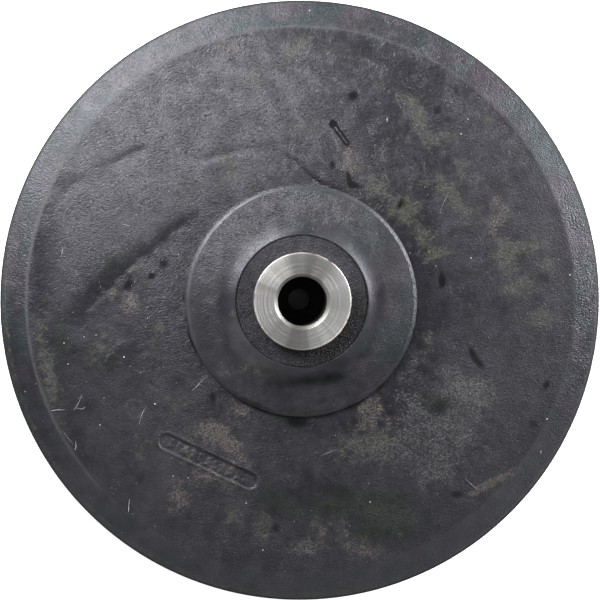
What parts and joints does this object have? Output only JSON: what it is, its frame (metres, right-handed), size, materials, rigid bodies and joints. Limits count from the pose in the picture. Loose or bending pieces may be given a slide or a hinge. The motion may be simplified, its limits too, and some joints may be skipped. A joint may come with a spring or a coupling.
{
  "type": "pump impeller",
  "caption": "Moulded rubber pump impeller: a bevelled disc with a boss and a turned steel hub on the drive side, and swept vanes on the front.",
  "frame": {"origin": "on the shaft axis, in the plane of the vanes' free edges, which the impeller lies on", "axes": "+Z along the shaft axis towards the drive side, where the boss and the mouth of the bore are; +Y up and +X right as seen on that side"},
  "size_m": [0.19, 0.19, 0.0345],
  "materials": {
    "rubber": "fine leather-like moulded grain, satin, with dusty olive and tan stains",
    "core": "rough dark grainy",
    "steel": "turned, fine concentric marks, slight rust at the edges"
  },
  "bodies": {
    "root": {"back_shroud": "rubber", "boss": "rubber", "hub_collar": "core", "hub_bush": "steel", "eye_nose": "rubber", "vane_1": "rubber", "vane_2": "rubber", "vane_3": "rubber", "vane_4": "rubber", "vane_5": "rubber", "vane_6": "rubber", "vane_7": "rubber"}
  },
  "joints": []
}
